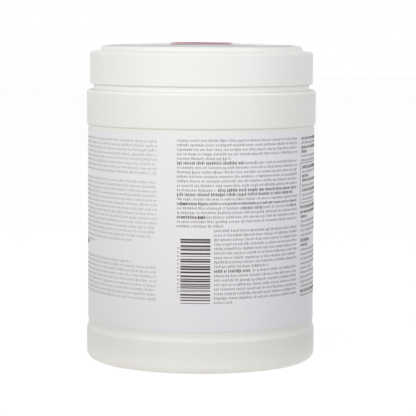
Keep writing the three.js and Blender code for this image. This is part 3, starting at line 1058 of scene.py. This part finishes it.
notch_columns = math.pi + np.radians(np.linspace(-18, 18, 73))
ring_angle = around(round_columns, notch_columns)[:, None]
from_lip = ring_angle - math.pi
in_notch = notch_reach**2 - (scoop_at * np.sin(from_lip)) ** 2
notch_edge = scoop_at * np.cos(from_lip) + np.sqrt(np.maximum(in_notch, 0))
ring_inner = np.where((in_notch > 0) & (np.cos(from_lip) > 0), notch_edge, sticker_inner)
ring_share = np.linspace(0, 1, 14)
ring_share = np.concatenate([ring_share, ring_share[::-1]])[None]
ring_lift = np.repeat([sticker_top, sticker_low], 14)[None]
ring_radius = ring_inner + (sticker_outer - ring_inner) * ring_share
ring_grid = on_axis(ring_radius, ring_angle, deck(ring_radius) + ring_lift)
lid_sticker = skinned("lid_sticker", ring_grid, True, True)


def on_deck(degrees, radius, lift):
    """Places print on the lid sticker by its angle in degrees and its distance from the axis."""
    return on_axis(radius, np.radians(degrees), deck(radius) + sticker_top + lift)


arc_rules = [(0, 360, 50.6, 51.2)]
arc_band = [(0, 360, 42.5, 49.8)]
arc_red = [(-43, 43, 20.6, 25.6)]
arc_heads = [(-30, 30, 32.0, 34.0), (115, 150, 38.0, 40.0), (210, 245, 38.0, 40.0)]


def ring_type(radius, start, end):
    """A row of dashes bent round the deck at one radius, from one angle in degrees to another."""
    scale = radius * math.pi / 180
    row = dashes(radius, start * scale, end * scale)
    return row / np.array([scale, scale, 1, 1])


arc_type = [ring_type(radius, -50, 50) for radius in (28.4, 36.6, 39.0)]
arc_type += [ring_type(radius, 105, 160) for radius in (28.0, 30.5, 33.0)]
arc_type += [ring_type(radius, 200, 255) for radius in (28.0, 30.5, 33.0)]
pale_film = colour(238, 239, 241)
pale_film_deep = colour(232, 233, 236)
band_ink = ink("band_ink", colour(212, 218, 223), colour(219, 224, 228), 8.0)
sticker_film, tree, shader = finish("sticker_film", pale_film, 0.36, Specular_IOR_Level=0.4)
wash = grain(tree, 17.0, 3.0, seed=3.0)
tree.feed(shader.inputs["Base Color"], tree.mix(wash, pale_film, pale_film_deep))
tree.feed(shader.inputs["Roughness"], wash * 0.14 + 0.3)
relief(tree, shader, [(grain(tree, 6.0), 0.03), (grain(tree, 0.3), 0.002)])
dress(lid_sticker, sticker_film, "lid", ["lid_label"])
dress(bars("lid_ring_line", arc_rules, on_deck, 180), deep_blue, "lid")
dress(bars("lid_pale_band", arc_band, on_deck, 180), band_ink, "lid")
dress(bars("lid_red_arc", arc_red, on_deck, 60), warm_red, "lid")
lid_heads = bars("lid_headlines", arc_heads, lambda a, b, c: on_deck(a, b, c + ink_rise), 30)
dress(lid_heads, deep_blue, "lid")
dress(bars("lid_type", np.concatenate(arc_type), on_deck), type_ink, "lid")


# Flip cap: a thin crowned disc that closes the well. It is moulded with the lid and turns on a
# straight living hinge at its back. A small lip reaches into the thumb scoop, and a ring on its
# underside plugs the space round the collar.

cap_radius = 18.5
cap_low = 175.35
cap_high = 176.65
cap_crown = 0.1
cap_chord = 17.6
lip_half = 3.0
lip_reach = 2.2
lip_low = 176.0
plug_inner = 9.9
plug_outer = 10.9
plug_low = 174.35
cap_plain = 14.0
cap_columns = 180
crown_fall = 0.0055
web_half = 4.6
web_thinnest = 0.09
web_growth = 0.08
web_reach = 0.5
hinge_y = -17.775

cap_profile = outline(
    [
        (0, cap_low, 0),
        (plug_inner, cap_low, 0.15),
        (plug_inner, plug_low, 0.2),
        (plug_outer, plug_low, 0.2),
        (plug_outer, cap_low, 0.15),
        (cap_plain, cap_low, 0),
        (cap_radius, cap_low, 0.15),
        (cap_radius, lip_low - 0.02, 0),
        (cap_radius, lip_low + 0.02, 0),
        (cap_radius, cap_high, 0.3),
        (cap_plain, cap_high + cap_crown * (1 - cap_plain / cap_radius), 0),
        (0, cap_high + cap_crown, 0),
    ],
    3.0,
    0.2,
)
lip_columns = math.pi + np.radians(np.linspace(-9.7, 9.7, 41))
chord_kink = math.acos(cap_chord / cap_radius)
cap_angles = around(cap_columns, lip_columns, [chord_kink, -chord_kink])[:, None]
cap_edge = np.minimum(cap_radius, cap_chord / np.maximum(np.cos(cap_angles), 0.2))
lip_centre = cap_radius + lip_reach - lip_half
lip_angle = cap_angles - math.pi
in_lip = lip_half**2 - (lip_centre * np.sin(lip_angle)) ** 2
lip_edge = lip_centre * np.cos(lip_angle) + np.sqrt(np.maximum(in_lip, 0))
lip_edge = np.where((in_lip > 0) & (np.cos(lip_angle) > 0), lip_edge, 0)
top_edge = np.maximum(cap_edge, lip_edge)
cap_from, cap_at = cap_profile[None, :, 0], cap_profile[None, :, 1]
edge_here = np.where(cap_at > lip_low, top_edge, cap_edge)
cap_scale = (edge_here - cap_plain) / (cap_radius - cap_plain)
cap_moved = cap_plain + (cap_from - cap_plain) * cap_scale
cap_from = np.where(cap_from > cap_plain, cap_moved, cap_from)
cap = skinned("flip_cap_shell", on_axis(cap_from, cap_angles, cap_at))
dress(cap, moulded_plastic, "flip_cap", ["flip_cap"])

web_y = np.linspace(-18.25, -17.3, 13)[:, None]
web_x = np.array([-1, -1, 1, 1])[None] * web_half
thin = web_thinnest + web_growth * np.abs((web_y - hinge_y) / web_reach) ** 2
web_z = cap_high - 0.2 + np.array([-1, 1, 1, -1])[None] * thin
web_grid = np.stack(np.broadcast_arrays(web_x, web_y, web_z), -1)
web = skinned("hinge_web", capped(web_grid), False, True)
web.data.materials.append(moulded_plastic)
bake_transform(web)


# Cap sticker: a round red film label stuck on the cap and cut straight beside the hinge, with a
# few dark headline bars printed on it.

disc_radius = 17.1
disc_chord = 16.6
disc_columns = 120


def on_cap(across, up, lift):
    """Places print on the cap: across is x, up is y, and the crown falls with the distance."""
    rise = cap_high + cap_crown - crown_fall * np.hypot(across, up)
    return np.stack(np.broadcast_arrays(across, up, rise + sticker_top + lift), -1)


disc_kink = math.acos(disc_chord / disc_radius)
disc_angle = around(disc_columns, [disc_kink, -disc_kink])[:, None]
disc_edge = np.minimum(disc_radius, disc_chord / np.maximum(np.cos(disc_angle), 0.2))
disc_share = np.linspace(0, 1, 12)
disc_from = disc_edge * np.concatenate([disc_share, disc_share[::-1]])[None]
disc_lift = np.repeat([0.0, -sticker_thickness], 12)[None] + 0 * disc_from
disc_flat = on_axis(disc_from, disc_angle, 0.0)
cap_sticker = skinned("cap_sticker", on_cap(disc_flat[..., 0], disc_flat[..., 1], disc_lift))
dress(cap_sticker, warm_red, "flip_cap", ["cap_label"])
cap_heads = [(-12.0, 12.0, -13.0, -7.4), (-9.0, 6.5, -2.2, 0.4), (-6.0, 3.0, 6.8, 8.0)]
dress(bars("cap_headlines", cap_heads, on_cap, 16), bold_ink, "flip_cap")
